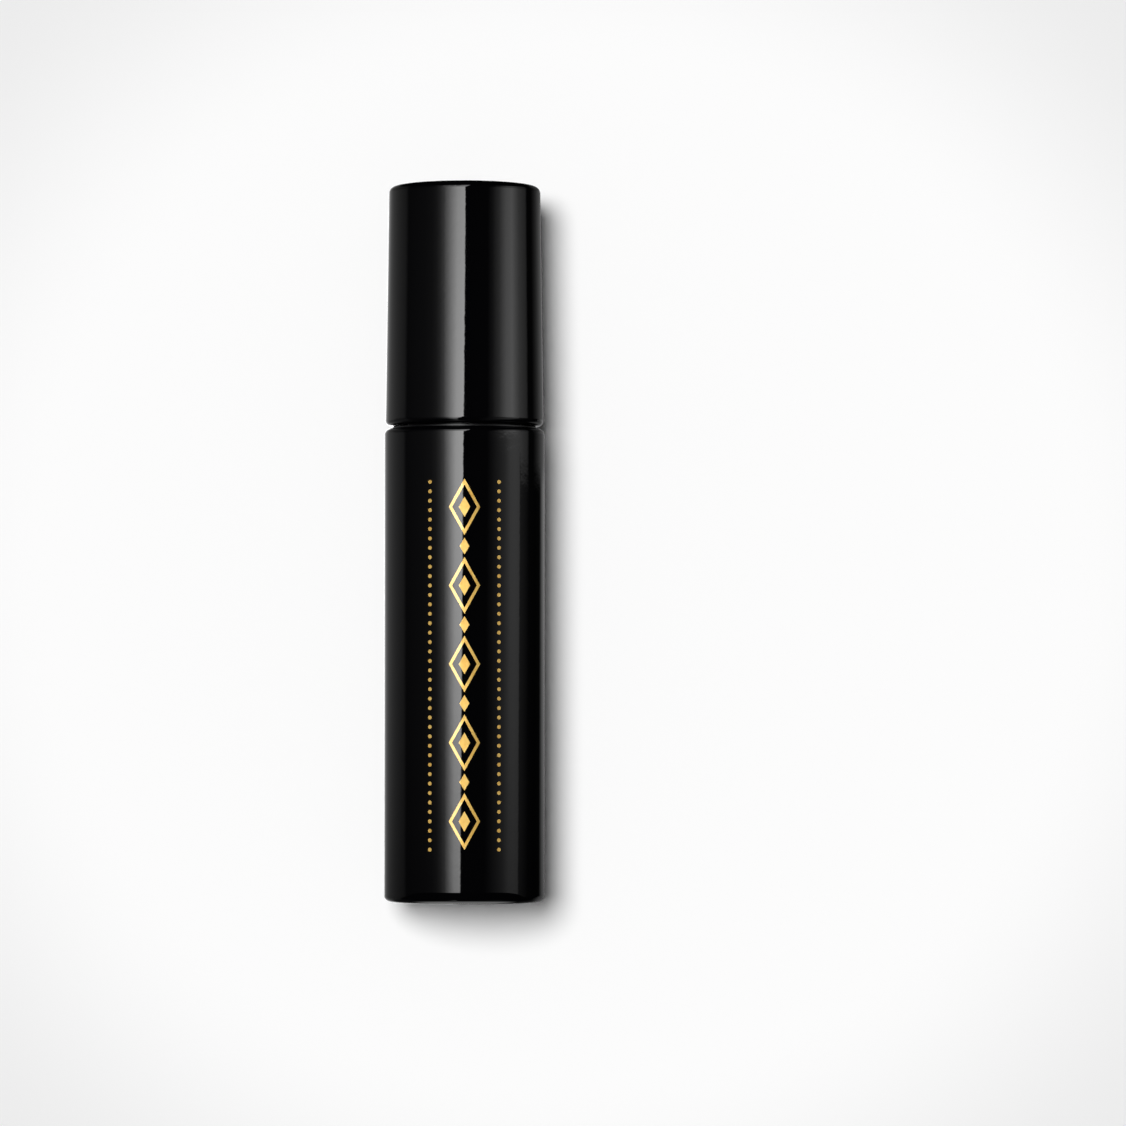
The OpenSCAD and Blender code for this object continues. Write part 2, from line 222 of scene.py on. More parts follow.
def satin_black_tpe():
    """Moulded elastomer of the brush: deep black and satin, so that the bristles' edges catch the light."""
    material, tree, shader = new_material("satin_black_tpe")
    place = add(tree, "ShaderNodeTexCoord").outputs["Object"]
    cloud = add(tree, "ShaderNodeTexNoise", {"Vector": place, "Scale": 1 / (0.8 * MM), "Detail": 2.0})
    rough = add(tree, "ShaderNodeMapRange", {"Value": cloud.outputs["Fac"], "To Min": 0.14, "To Max": 0.26})
    tree.links.new(rough.outputs["Result"], shader.inputs["Roughness"])
    shader.inputs["Base Color"].default_value = linear("#050506")
    shader.inputs["IOR"].default_value = 1.45
    shader.inputs["Specular IOR Level"].default_value = 0.45
    return material


def natural_pe_foam():
    """Closed-cell polyethylene foam of the washer: off-white and matte, with fine cells."""
    material, tree, shader = new_material("natural_pe_foam")
    place = add(tree, "ShaderNodeTexCoord").outputs["Object"]
    cells = add(tree, "ShaderNodeTexVoronoi", {"Vector": place, "Scale": 1 / (0.25 * MM)})
    tone = add(tree, "ShaderNodeMix", {"Factor": cells.outputs["Distance"], "A": linear("#EDEBE3"),
                                       "B": linear("#D9D6CB")}, data_type="RGBA")
    bump = add(tree, "ShaderNodeBump", {"Height": cells.outputs["Distance"], "Strength": 0.4,
                                        "Distance": 0.05 * MM})
    tree.links.new(tone.outputs["Result"], shader.inputs["Base Color"])
    tree.links.new(bump.outputs["Normal"], shader.inputs["Normal"])
    shader.inputs["Roughness"].default_value = 0.85
    return material


def gold_foil():
    """Gold pigment in a clear coat: a metal's sheen in the highlights, and golden away from them too."""
    material, tree, shader = new_material("gold_foil")
    place = add(tree, "ShaderNodeTexCoord").outputs["Object"]
    press = add(tree, "ShaderNodeTexNoise", {"Vector": place, "Scale": 1 / (0.5 * MM), "Detail": 4.0})
    tone = add(tree, "ShaderNodeMix", {"Factor": press.outputs["Fac"], "A": linear("#E3A63C"),
                                       "B": linear("#FADB82")}, data_type="RGBA")
    rough = add(tree, "ShaderNodeMapRange", {"Value": press.outputs["Fac"], "To Min": 0.27, "To Max": 0.42})
    tree.links.new(tone.outputs["Result"], shader.inputs["Base Color"])
    tree.links.new(rough.outputs["Result"], shader.inputs["Roughness"])
    shader.inputs["Metallic"].default_value = 0.4
    shader.inputs["Coat Weight"].default_value = 1.0
    shader.inputs["Coat Roughness"].default_value = 0.06
    return material


# Light: levels of the tent's cards by azimuth in degrees, 0 towards the camera and 90 to its right
LEFT_CARDS = [
    (-180, 3.2), (-171, 1.7), (-163, 0.8), (-157, 0.52), (-146, 0.34), (-137, 0.27), (-108, 0.18),
    (-98, 0.14), (-92, 0.03), (-60, 0.06), (-48, 0.09), (-41, 0.165), (-35.5, 0.36), (-29.5, 0.86),
    (-23.5, 2.45), (-12.5, 6.2), (-2.8, 7.0),
]
UPPER_CARDS = [
    (-2.0, 0.005), (32, 0.012), (40, 0.12), (50, 0.48), (62, 1.4), (72, 1.65), (80, 1.0), (86, 0.6),
    (94, 0.38), (101, 0.24), (105, 0.01), (116, 0.01), (125, 0.07), (141, 0.2), (180, 0.3),
]
LOWER_CARDS = [
    (-2.0, 0.005), (32, 0.01), (40, 0.08), (50, 0.2), (59, 0.35), (69, 0.7), (77, 0.72), (85.5, 0.6),
    (86.5, 0.15), (97, 0.07), (106, 0.012), (122, 0.005), (138, 0.01), (150, 0.35), (180, 0.36),
]
CARD_PEAK = 7.5
# Height where the cards change over at the right-hand side, how much higher it is elsewhere,
# how soft the change is, and the azimuths between which its height drops
CARD_CHANGE = 54 * MM
CARD_CHANGE_RISE = 7.5 * MM
CARD_CHANGE_SOFT = 2 * MM
CARD_CHANGE_SIDE = (math.radians(84), math.radians(88))
# The cards' edges lean by this much in radians for each metre up,
# and the soft side of the left card leans back by this share of it
CARD_LEAN = 1.08
CARD_LEAN_BACK = -0.4
CARD_SOFT_SIDE = (math.radians(-28), math.radians(-8))
# The cards fade from their middle, end between these heights, and dim to this share between the lower ones
CARD_MIDDLE = 62 * MM
CARD_FADE = 105 * MM
CARD_LEAST = 0.48
CARD_END = (213 * MM, 263 * MM)
CARD_TAIL_END = (-117 * MM, -167 * MM)
CARD_TAIL = 0.2
TENT_R = 300 * MM
TENT_HALF_HEIGHT = 300 * MM
TENT_SIDES = 128
# The cards run on over the tent's lower lid, where they fade out between these distances from its axis
LID_FADE = (120 * MM, 200 * MM)
# Pale disc below the tube, which the base's rounded edge reflects: even out to one radius, dark at the other
FLOOR_R = 30 * MM
FLOOR_EVEN_R = 10 * MM
FLOOR_DROP = 30 * MM
FLOOR_LEVEL = 2.0
FLOOR_SIDES = 64
# Black flag that hugs the front of the base, so that the cards' reflections end above its rounded edge
FLAG_GAP = 0.35 * MM
FLAG_TURN = math.radians(56)
FLAG_LOW = 0.08 * MM
FLAG_HIGH = 1.1 * MM
FLAG_STEPS = 48
# Power of the curve by which the flag gets lower towards its ends
FLAG_ROUND = 6
# White board behind the tube: half its side, and the distances between which painted shade turns it a little
# grey
BOARD_HALF = 3.0
BOARD_WHITE_R = 50 * MM
BOARD_SHADE_R = 80 * MM
# Key light: its strength, its width in the sky and where it points; and the even fill from the world
KEY_ENERGY = 2.95
KEY_WIDTH = math.radians(23)
KEY_AIM = Vector((0.20, 1.0, -0.16))
FILL_LEVEL = 0.08


def new_bare_material(name):
    """A material with an empty node tree."""
    material = bpy.data.materials.new(name)
    material.use_nodes = True
    material.node_tree.nodes.clear()
    return material, material.node_tree


def tent_material():
    """Soft light cards round the tube, by azimuth and height."""
    material, tree = new_bare_material("softbox_tent")
    place = add(tree, "ShaderNodeTexCoord").outputs["Object"]
    axes = add(tree, "ShaderNodeSeparateXYZ", {"Vector": place}).outputs
    front = add(tree, "ShaderNodeMath", {0: axes["Y"], 1: -1.0}, operation="MULTIPLY").outputs[0]
    turn = add(tree, "ShaderNodeMath", {0: axes["X"], 1: front}, operation="ARCTAN2").outputs[0]
    above = add(tree, "ShaderNodeMath", {0: axes["Z"], 1: CARD_CHANGE}, operation="SUBTRACT").outputs[0]
    slope = add(tree, "ShaderNodeMapRange", {"Value": turn, "From Min": CARD_SOFT_SIDE[0],
                                             "From Max": CARD_SOFT_SIDE[1],
                                             "To Min": -CARD_LEAN * CARD_LEAN_BACK,
                                             "To Max": -CARD_LEAN}).outputs[0]
    lean = add(tree, "ShaderNodeMath", {0: above, 1: slope, 2: turn}, operation="MULTIPLY_ADD").outputs[0]
    share = add(tree, "ShaderNodeMapRange", {"Value": lean, "From Min": -math.pi,
                                             "From Max": math.pi}).outputs[0]
    shades = []
    for cards in (LOWER_CARDS, UPPER_CARDS):
        ramp = add(tree, "ShaderNodeValToRGB", {"Fac": share})
        stops = ramp.color_ramp.elements
        for i, (azimuth, level) in enumerate(LEFT_CARDS + cards):
            if i > 1:
                stops.new(1.0)
            stops[i].position = (azimuth + 180) / 360
            stops[i].color = (*[level / CARD_PEAK] * 3, 1)
        shades.append(ramp.outputs["Color"])
    rise = add(tree, "ShaderNodeMapRange", {"Value": turn, "From Min": CARD_CHANGE_SIDE[0],
                                            "From Max": CARD_CHANGE_SIDE[1], "To Min": CARD_CHANGE_RISE,
                                            "To Max": 0.0}).outputs[0]
    past = add(tree, "ShaderNodeMath", {0: above, 1: rise}, operation="SUBTRACT").outputs[0]
    upper = add(tree, "ShaderNodeMapRange", {"Value": past, "From Min": -CARD_CHANGE_SOFT,
                                             "From Max": CARD_CHANGE_SOFT}).outputs[0]
    shade = add(tree, "ShaderNodeMix", {"Factor": upper, "A": shades[0], "B": shades[1]}, data_type="RGBA")
    off = add(tree, "ShaderNodeMath", {0: axes["Z"], 1: CARD_MIDDLE}, operation="SUBTRACT").outputs[0]
    part = add(tree, "ShaderNodeMath", {0: off, 1: CARD_FADE}, operation="DIVIDE").outputs[0]
    loss = add(tree, "ShaderNodeMath", {0: part, 1: part}, operation="MULTIPLY").outputs[0]
    kept = add(tree, "ShaderNodeMath", {0: 1.0, 1: loss}, operation="SUBTRACT").outputs[0]
    fade = add(tree, "ShaderNodeMath", {0: kept, 1: CARD_LEAST}, operation="MAXIMUM").outputs[0]
    top = add(tree, "ShaderNodeMapRange", {"Value": axes["Z"], "From Min": CARD_END[0],
                                           "From Max": CARD_END[1], "To Min": CARD_PEAK,
                                           "To Max": 0.0}).outputs[0]
    tail = add(tree, "ShaderNodeMapRange", {"Value": axes["Z"], "From Min": CARD_TAIL_END[0],
                                            "From Max": CARD_TAIL_END[1], "To Min": 1.0,
                                            "To Max": CARD_TAIL}).outputs[0]
    flat = add(tree, "ShaderNodeCombineXYZ", {"X": axes["X"], "Y": axes["Y"]}).outputs[0]
    out = add(tree, "ShaderNodeVectorMath", {0: flat}, operation="LENGTH").outputs["Value"]
    lid = add(tree, "ShaderNodeMapRange", {"Value": out, "From Min": LID_FADE[0],
                                           "From Max": LID_FADE[1]}).outputs[0]
    level = fade
    for factor in (top, tail, lid):
        level = add(tree, "ShaderNodeMath", {0: level, 1: factor}, operation="MULTIPLY").outputs[0]
    light = add(tree, "ShaderNodeEmission", {"Color": shade.outputs["Result"], "Strength": level})
    add(tree, "ShaderNodeOutputMaterial", {"Surface": light.outputs[0]})
    return material


def floor_material():
    """Pale light that fades towards the rim of the disc."""
    material, tree = new_bare_material("pale_floor")
    place = add(tree, "ShaderNodeTexCoord").outputs["Object"]
    away = add(tree, "ShaderNodeVectorMath", {0: place, 1: (0, 0, -FLOOR_DROP)},
               operation="DISTANCE").outputs["Value"]
    level = add(tree, "ShaderNodeMapRange", {"Value": away, "From Min": FLOOR_EVEN_R, "From Max": FLOOR_R,
                                             "To Min": FLOOR_LEVEL, "To Max": 0.0},
                interpolation_type="SMOOTHSTEP").outputs[0]
    light = add(tree, "ShaderNodeEmission", {"Strength": level})
    add(tree, "ShaderNodeOutputMaterial", {"Surface": light.outputs[0]})
    return material


def flag_material():
    """Plain black, without light of its own."""
    material, tree = new_bare_material("base_flag")
    black = add(tree, "ShaderNodeEmission", {"Strength": 0.0})
    add(tree, "ShaderNodeOutputMaterial", {"Surface": black.outputs[0]})
    return material


def stage_for_reflections(piece):
    """Puts a card on the stage, where only reflections see it."""
    piece.visible_camera = False
    piece.visible_diffuse = False
    piece.visible_shadow = False
    piece.visible_transmission = False


def make_tent():
    """A cylinder of soft light round the tube, with a lid at each end."""
    bm = bmesh.new()
    bmesh.ops.create_cone(bm, cap_ends=True, segments=TENT_SIDES, radius1=TENT_R, radius2=TENT_R,
                          depth=2 * TENT_HALF_HEIGHT)
    bmesh.ops.translate(bm, verts=bm.verts, vec=(0, 0, CAP_TOP / 2))
    tent = new_object("softbox_tent", mesh_of(bm, "softbox_tent"))
    tent.data.materials.append(tent_material())
    stage_for_reflections(tent)


def make_floor():
    """The pale disc below the tube."""
    bm = bmesh.new()
    bmesh.ops.create_circle(bm, cap_ends=True, segments=FLOOR_SIDES, radius=FLOOR_R)
    bmesh.ops.translate(bm, verts=bm.verts, vec=(0, 0, -FLOOR_DROP))
    floor = new_object("pale_floor", mesh_of(bm, "pale_floor"))
    floor.data.materials.append(floor_material())
    stage_for_reflections(floor)


def make_flag():
    """The black flag: an arc of wall round the front of the base."""
    turns = [FLAG_TURN * (2 * k / FLAG_STEPS - 1) for k in range(FLAG_STEPS + 1)]
    radius = SLEEVE_R + FLAG_GAP
    points = []
    for turn in turns:
        height = (FLAG_HIGH - FLAG_LOW) * (1 - (turn / FLAG_TURN) ** FLAG_ROUND)
        points += [(radius * math.sin(turn), -radius * math.cos(turn), FLAG_LOW + z) for z in (0, height)]
    mesh = bpy.data.meshes.new("base_flag")
    mesh.from_pydata(points, [], [(k, k + 2, k + 3, k + 1) for k in range(0, 2 * FLAG_STEPS, 2)])
    flag = new_object("base_flag", mesh)
    flag.data.materials.append(flag_material())
    stage_for_reflections(flag)


def surface_material():
    """Matt white board with painted shade towards its rim, seen from its front only, so that it doesn't hide
    the part from behind.
    """
    material, tree = new_bare_material("white_board")
    place = add(tree, "ShaderNodeTexCoord").outputs["Object"]
    # Painted shade: the board's colour greys with distance from the middle of the camera's frame, a falloff
    # of light towards the corners
    centre = photo_point(PHOTO_SIDE / 2, PHOTO_SIDE / 2) + Vector((0, SLEEVE_R, 0))
    away = add(tree, "ShaderNodeVectorMath", {0: place, 1: centre}, operation="DISTANCE").outputs["Value"]
    edge = add(tree, "ShaderNodeMapRange", {"Value": away, "From Min": BOARD_WHITE_R,
                                            "From Max": BOARD_SHADE_R},
               interpolation_type="SMOOTHSTEP").outputs["Result"]
    tone = add(tree, "ShaderNodeMix", {"Factor": edge, "A": linear("#FFFFFF"), "B": linear("#EFEFEF")},
               data_type="RGBA").outputs["Result"]
    board = add(tree, "ShaderNodeBsdfDiffuse", {"Color": tone})
    clear = add(tree, "ShaderNodeBsdfTransparent")
    back = add(tree, "ShaderNodeNewGeometry").outputs["Backfacing"]
    mix = add(tree, "ShaderNodeMixShader", {0: back, 1: board.outputs[0], 2: clear.outputs[0]})
    add(tree, "ShaderNodeOutputMaterial", {"Surface": mix.outputs[0]})
    return material


def make_surface():
    """The white surface that the tube lies against, square to the photograph's view."""
    corners = [(x * BOARD_HALF, SLEEVE_R, z * BOARD_HALF) for x, z in ((-1, -1), (1, -1), (1, 1), (-1, 1))]
    mesh = bpy.data.meshes.new("white_board")
    mesh.from_pydata(corners, [], [(0, 1, 2, 3)])
    board = new_object("white_board", mesh)
    board.data.materials.append(surface_material())
    board.visible_glossy = False
    board.visible_diffuse = False
    board.visible_shadow = False


def make_lights():
    """A soft key light from the front and upper left, and a world that is white to the camera alone."""
    key = bpy.data.lights.new("key_sun", "SUN")
    key.energy = KEY_ENERGY
    key.angle = KEY_WIDTH
    lamp = bpy.data.objects.new("key_sun", key)
    lamp.rotation_mode = "QUATERNION"
    lamp.rotation_quaternion = KEY_AIM.to_track_quat("-Z", "Y")
    lamp.visible_glossy = False
    bpy.context.scene.collection.objects.link(lamp)

    world = bpy.data.worlds.new("studio")
    bpy.context.scene.world = world
    world.use_nodes = True
    tree = world.node_tree
    tree.nodes.clear()
    path = add(tree, "ShaderNodeLightPath")
    level = add(tree, "ShaderNodeMapRange", {"Value": path.outputs["Is Camera Ray"], "To Min": FILL_LEVEL,
                                             "To Max": 1.0})
    light = add(tree, "ShaderNodeBackground", {"Strength": level.outputs["Result"]})
    add(tree, "ShaderNodeOutputWorld", {"Surface": light.outputs[0]})


# Brush: a bowed core whose skin is a lattice of six-sided patches, each drawn up into a bristle
BRUSH_L = 24.1 * MM
CORE_ROOT_R = 1.4 * MM
CORE_TIP_R = 0.95 * MM
SHANK_R = 1.28 * MM
ROOT_R = 1.55 * MM
BRUSH_BOW = 1.35 * MM
BRUSH_LEAN = 0.15 * MM
BRISTLE_REACH = 3.4 * MM
TIP_REACH = 1.75 * MM
NARROWING = 7.0 * MM
# The bristles at both ends lean away from the rod
ROOT_SPLAY = 0.3 * MM
TIP_SPLAY = 0.35 * MM
SPLAY_FADE = 3.0 * MM
BRISTLE_ROWS = 18
BRISTLES_PER_ROW = 19
# Neighbouring rows stand a third of the pitch apart along the core
ROW_PHASES = 3
# The patches' lattice starts and stops this far from the ends of the brush
ROOT_BARE = 0.45 * MM
STUB_BARE = 0.48 * MM
END_MARGIN = 0.15 * MM
# Share of a row's width by which the valleys between the rows zigzag
VALLEY_ZIGZAG = 0.15
# Places along the core that differ by no more than this are the same
SAME_PLACE = 1e-9
# A bristle from its foot to its tip: share of its length, of its patch's width and of its patch's length
BRISTLE_STATIONS = [
    (0.00, 0.90, 0.72), (0.08, 0.80, 0.56), (0.22, 0.72, 0.46), (0.50, 0.62, 0.34), (0.86, 0.48, 0.22),
    (0.96, 0.36, 0.16), (1.00, 0.16, 0.07),
]
# How far a bristle's tip wavers, from a fixed seed
BRISTLE_WAVER = 0.12 * MM
BRISTLE_SEED = 7
# Chamfer at the top of the shank that sits in the rod
SHANK_CHAMFER = 0.15 * MM
# Rounded end of the stub: distance from its tip, and how much it stands back from the core's radius
STUB_ROUND = [(0.3 * MM, 0.0), (0.1 * MM, 0.08 * MM), (0.02 * MM, 0.28 * MM), (0.0, 0.55 * MM)]


def bow(s):
    """Sideways place of the core at a distance s below the rod."""
    t = s / BRUSH_L
    return BRUSH_LEAN * t - BRUSH_BOW * math.sin(math.pi * t)


def core_radius(s):
    """Radius of the core at a distance s below the rod."""
    return CORE_ROOT_R + (CORE_TIP_R - CORE_ROOT_R) * s / BRUSH_L


def core_point(s, angle, radius):
    """A point round the bowed core, at a distance s below the rod."""
    step = 0.05 * MM
    tilt = math.atan((bow(s + step) - bow(s - step)) / (2 * step))
    out = radius * math.cos(angle)
    return (bow(s) + out * math.cos(tilt), radius * math.sin(angle), ROD_END - s + out * math.sin(tilt))


def bristle_length(s):
    """Length of a bristle at a distance s below the rod, shorter towards the free end."""
    left = min(1.0, (BRUSH_L - STUB_BARE - s) / NARROWING)
    return TIP_REACH + (BRISTLE_REACH - TIP_REACH) * math.sin(math.pi / 2 * left) - core_radius(s)


def end_splay(s):
    """How far a bristle leans away from the rod, at a distance s below it."""
    at_root = ROOT_SPLAY * max(0.0, 1 - s / SPLAY_FADE)
    at_tip = TIP_SPLAY * max(0.0, 1 - (BRUSH_L - STUB_BARE - s) / SPLAY_FADE)
    return at_root + at_tip


def brush_core():
    """The brush's core: shank, root, a lattice of bristle patches, and the rounded stub."""
    first = ROOT_BARE + END_MARGIN
    last = BRUSH_L - STUB_BARE - END_MARGIN
    pitch = (last - first) / (BRISTLES_PER_ROW + (ROW_PHASES - 1) / ROW_PHASES)
    turn = 2 * math.pi / BRISTLE_ROWS
    zigzag = VALLEY_ZIGZAG * turn

    def cuts(row):
        return [first + (j + row % ROW_PHASES / ROW_PHASES) * pitch for j in range(BRISTLES_PER_ROW + 1)]

    bm = bmesh.new()
    length_layer = bm.faces.layers.float.new("bristle_length")
    splay_layer = bm.faces.layers.float.new("bristle_splay")
    id_layer = bm.faces.layers.int.new("bristle_id")

    # Valleys between the rows: each corner of a patch leans towards the row that it belongs to
    valleys = []
    for row in range(BRISTLE_ROWS):
        middle = (row + 0.5) * turn
        corners = [(ROOT_BARE, middle), (BRUSH_L - STUB_BARE, middle)]
        corners += [(s, middle - zigzag) for s in cuts(row)]
        corners += [(s, middle + zigzag) for s in cuts((row + 1) % BRISTLE_ROWS)]
        valleys.append([(s, bm.verts.new(core_point(s, a, core_radius(s)))) for s, a in sorted(corners)])

    # Patches, with what their bristles need; the short ones at both ends of a row stay bare
    for row in range(BRISTLE_ROWS):
        ends = [ROOT_BARE, *cuts(row), BRUSH_L - STUB_BARE]
        for j, (low, high) in enumerate(zip(ends, ends[1:])):
            sides = [[v for s, v in valleys[k] if low - SAME_PLACE <= s <= high + SAME_PLACE]
                     for k in (row - 1, row)]
            patch = bm.faces.new(sides[0] + sides[1][::-1])
            if 0 < j < len(ends) - 2:
                s = (low + high) / 2
                patch[length_layer] = bristle_length(s)
                patch[splay_layer] = -end_splay(s)
                patch[id_layer] = row * BRISTLES_PER_ROW + j

    # Plain rings of the shank and root above the lattice, and of the stub below it
    def ring(s, radius):
        return [bm.verts.new(core_point(s, (k + 0.5) * turn, radius)) for k in range(BRISTLE_ROWS)]

    def straight_ring(z, radius):
        return [bm.verts.new((radius * math.cos((k + 0.5) * turn), radius * math.sin((k + 0.5) * turn), z))
                for k in range(BRISTLE_ROWS)]

    def band(upper, lower):
        for k in range(BRISTLE_ROWS):
            n = (k + 1) % BRISTLE_ROWS
            bm.faces.new((upper[k], upper[n], lower[n], lower[k]))

    upper = [straight_ring(SHANK_TOP, SHANK_R - SHANK_CHAMFER),
             straight_ring(SHANK_TOP - SHANK_CHAMFER, SHANK_R),
             straight_ring(ROD_END, SHANK_R), straight_ring(ROD_END, ROOT_R),
             [valley[0][1] for valley in valleys]]
    lower = [[valley[-1][1] for valley in valleys]]
    lower += [ring(BRUSH_L - s, CORE_TIP_R - inset) for s, inset in STUB_ROUND]
    for rings in (upper, lower):
        for above, below in zip(rings, rings[1:]):
            band(above, below)
    bm.faces.new(upper[0])
    bm.faces.new(lower[-1])
    return mesh_of(bm, "brush_core")


def make_brush(material):
    """The moulded brush: a bristle drawn out of every patch of the core."""
    sizes = {"Waver": BRISTLE_WAVER, "Seed": BRISTLE_SEED}
    tree, given = new_tree("bristles", sizes)
    length = add(tree, "GeometryNodeInputNamedAttribute", {"Name": "bristle_length"},
                 data_type="FLOAT").outputs[0]
    splay = add(tree, "GeometryNodeInputNamedAttribute", {"Name": "bristle_splay"},
                data_type="FLOAT").outputs[0]
    number = add(tree, "GeometryNodeInputNamedAttribute", {"Name": "bristle_id"},
                 data_type="INT").outputs[0]
    normal = add(tree, "GeometryNodeInputNormal").outputs[0]
    straight = add(tree, "ShaderNodeVectorMath", {0: normal, "Scale": length}, operation="SCALE").outputs[0]
    back = add(tree, "ShaderNodeCombineXYZ", {"Z": splay}).outputs[0]
    chance = add(tree, "FunctionNodeRandomValue", {0: (-1, -1, -1), 1: (1, 1, 1), "ID": number,
                                                   "Seed": given["Seed"]},
                 data_type="FLOAT_VECTOR").outputs[0]
    waver = add(tree, "ShaderNodeVectorMath", {0: chance, "Scale": given["Waver"]},
                operation="SCALE").outputs[0]
    leaning = add(tree, "ShaderNodeVectorMath", {0: straight, 1: back}, operation="ADD").outputs[0]
    path = add(tree, "ShaderNodeVectorMath", {0: leaning, 1: waver}, operation="ADD").outputs[0]
    chosen = add(tree, "FunctionNodeCompare", {0: length, 1: 0.0}, operation="GREATER_THAN").outputs[0]

    # Each station draws the patch out a little further and makes it smaller
    mesh = given["Geometry"]
    before = (0.0, 1.0, 1.0)
    for station in BRISTLE_STATIONS:
        grown = add(tree, "GeometryNodeExtrudeMesh", {"Mesh": mesh, "Selection": chosen, "Offset": path,
                                                      "Offset Scale": station[0] - before[0]}).outputs
        chosen = grown["Top"]
        narrow = station[1] / before[1]
        squeeze = station[2] / before[2] / narrow
        mesh = add(tree, "GeometryNodeScaleElements", {"Geometry": grown["Mesh"], "Selection": chosen,
                                                       "Scale": narrow}).outputs[0]
        mesh = add(tree, "GeometryNodeScaleElements", {"Geometry": mesh, "Selection": chosen,
                                                       "Scale": squeeze, "Axis": (0, 0, 1)},
                   scale_mode="SINGLE_AXIS").outputs[0]
        before = station
    close_tree(tree, mesh, material)
    mesh = grow("moulded_brush", tree, sizes, brush_core())
    smooth(mesh, crease=70)
    brush = new_object("moulded_brush", mesh)
    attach(brush, "applicator")
    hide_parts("brush")


# Threads: a right-hand ridge round the neck, and one in the inner cap that runs between its turns
NECK_R = 5.51 * MM
LINER_BORE_R = 6.06 * MM
THREAD_PITCH = 2.5 * MM
THREAD_TURNS = 1.5
THREAD_H = 0.4 * MM
THREAD_W = 0.55 * MM
# Share of the ridge over which it fades at each end, and the share of its section that is left there
THREAD_FADE = 0.12
THREAD_END = 0.15
THREAD_STEPS = 64
THREAD_SIDES = 14
# The cap's ridge starts half a pitch above the neck's, so it lets go of the neck's upper end after one turn
NECK_THREAD_LOW = NECK_TOP - 6.0 * MM
LINER_THREAD_LOW = NECK_THREAD_LOW + THREAD_PITCH / 2


def make_thread(name, body, material, radius, low):
    """A round-backed ridge that follows a helix and fades out at both ends."""
    sizes = {"Pitch": THREAD_PITCH, "Turns": THREAD_TURNS, "Radius": radius, "Height": THREAD_H,
             "Half Width": THREAD_W, "Fade": THREAD_FADE, "Start": low}
    tree, given = new_tree(name, sizes)
    rise = add(tree, "ShaderNodeMath", {0: given["Pitch"], 1: given["Turns"]},
               operation="MULTIPLY").outputs[0]
    helix = add(tree, "GeometryNodeCurveSpiral", {"Resolution": THREAD_STEPS, "Rotations": given["Turns"],
                                                  "Start Radius": given["Radius"],
                                                  "End Radius": given["Radius"], "Height": rise,
                                                  "Reverse": True}).outputs[0]
    upright = add(tree, "GeometryNodeSetCurveNormal", {"Curve": helix}, mode="Z_UP").outputs[0]
    ring = add(tree, "GeometryNodeCurvePrimitiveCircle", {"Resolution": THREAD_SIDES,
                                                          "Radius": 1.0}).outputs[0]
    shape = add(tree, "ShaderNodeCombineXYZ", {"X": given["Height"], "Y": given["Half Width"],
                                               "Z": 1.0}).outputs[0]
    section = add(tree, "GeometryNodeTransform", {"Geometry": ring, "Scale": shape}).outputs[0]
    along = add(tree, "GeometryNodeSplineParameter").outputs["Factor"]
    back = add(tree, "ShaderNodeMath", {0: 1.0, 1: along}, operation="SUBTRACT").outputs[0]
    near = add(tree, "ShaderNodeMath", {0: along, 1: back}, operation="MINIMUM").outputs[0]
    fade = add(tree, "ShaderNodeMapRange", {"Value": near, "From Max": given["Fade"], "To Min": THREAD_END},
               interpolation_type="SMOOTHSTEP").outputs[0]
    ridge = add(tree, "GeometryNodeCurveToMesh", {"Curve": upright, "Profile Curve": section, "Scale": fade,
                                                  "Fill Caps": True}).outputs[0]
    lift = add(tree, "ShaderNodeCombineXYZ", {"Z": given["Start"]}).outputs[0]
    placed = add(tree, "GeometryNodeTransform", {"Geometry": ridge, "Translation": lift}).outputs[0]
    close_tree(tree, placed, material)
    mesh = grow(name, tree, sizes)
    smooth(mesh, crease=60)
    thread = new_object(name, mesh)
    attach(thread, body)


# Gold foil on the sleeve: a chain of lozenges between two dotted lines
FOIL_BASE = 5.2 * MM
LOZENGES = 5
LOZENGE_STEP = 7.5 * MM
LOZENGE_W = 3.0 * MM
LOZENGE_H = 5.4 * MM
FOIL_LINE = 0.28 * MM
HEART_SHARE = 0.36
LINK_W = 0.95 * MM
LINK_H = 1.6 * MM
DOT_R = 0.19 * MM
DOT_STEP = 0.9 * MM
DOT_COLUMN = 3.4 * MM
FOIL_PROUD = 0.02 * MM
FOIL_SUNK = 0.02 * MM
# Cuts in each side of a lozenge, so that it follows the round of the tube, and sides of a dot
FOIL_CUTS = 10
DOT_SIDES = 12
# Points closer than this are joined where the raised sheet meets its underside
FOIL_MERGE = 0.002 * MM


